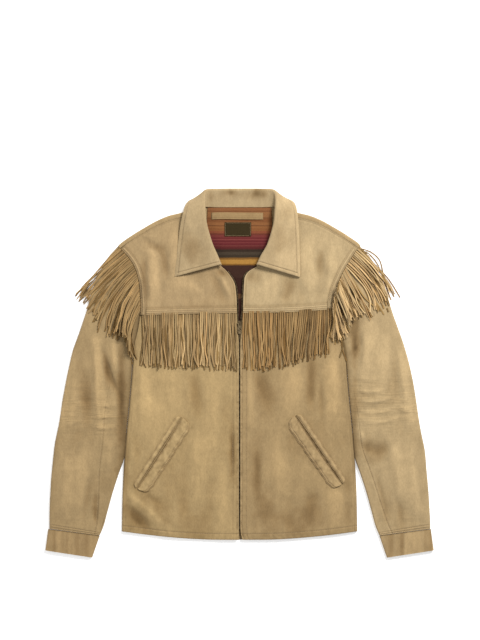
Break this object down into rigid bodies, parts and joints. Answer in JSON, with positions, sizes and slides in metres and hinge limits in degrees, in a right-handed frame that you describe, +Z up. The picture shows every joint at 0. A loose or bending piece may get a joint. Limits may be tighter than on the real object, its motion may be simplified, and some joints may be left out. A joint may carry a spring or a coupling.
{
  "type": "fringed buckskin jacket",
  "caption": "Fringed buckskin jacket laid flat, with a fold-over collar, yokes, slanted welt pockets, straight cuffs, a zipped front and fringe at the yokes and shoulders.",
  "frame": {"origin": "centre of the bounding box of the laid-out jacket, on the surface it lies on", "axes": "+X across the jacket towards the sleeve at the viewer's right, +Y from the hem to the collar, +Z up out of the surface it lies on, towards the front panels"},
  "size_m": [0.807, 0.7666, 0.0254],
  "materials": {
    "buckskin": "napped roughout suede, tan",
    "buckskin_pale": "napped roughout suede, paler and less worn",
    "fringe": "cut strands of napped suede",
    "lining": "striped woven blanket cloth in rust, red, charcoal and gold",
    "label": "bare woven label, dark brown",
    "tape": "woven zip tape, dark brown",
    "zip_metal": "aged brass, dull"
  },
  "bodies": {
    "jacket": {"back": "buckskin", "front_l": "buckskin", "front_r": "buckskin", "yoke_l": "buckskin_pale", "yoke_r": "buckskin_pale", "yoke_band_l": "buckskin_pale", "yoke_band_r": "buckskin_pale", "armhole_band_l": "buckskin_pale", "armhole_band_r": "buckskin_pale", "sleeve_top_l": "buckskin", "sleeve_top_r": "buckskin_pale", "sleeve_under_l": "buckskin", "sleeve_under_r": "buckskin_pale", "cuff_l": "buckskin", "cuff_r": "buckskin", "collar_upper": "buckskin_pale", "collar_under": "buckskin", "fringe_front_l": "fringe", "fringe_front_r": "fringe", "fringe_shoulder_l": "fringe", "fringe_shoulder_r": "fringe", "pocket_welt_l": "buckskin", "pocket_welt_r": "buckskin", "pocket_lip_l": "buckskin", "pocket_lip_r": "buckskin", "lining_back": "lining", "hanger_loop": "buckskin", "neck_label": "label", "zip_tape_l": "tape", "zip_tape_r": "tape", "zip_teeth_l": "zip_metal", "zip_teeth_r": "zip_metal", "zip_chain": "zip_metal", "zip_bottom_stop": "zip_metal", "zip_slider": "zip_metal"},
    "pull_tab": {"zip_pull_tab": "zip_metal"}
  },
  "joints": [
    {"name": "pull_tab_hinge", "type": "hinge", "parent": "jacket", "child": "pull_tab", "pos_m": [0, 0.106, 0.011], "axis": [-1, 0, 0], "range_deg": [0, 140]}
  ]
}
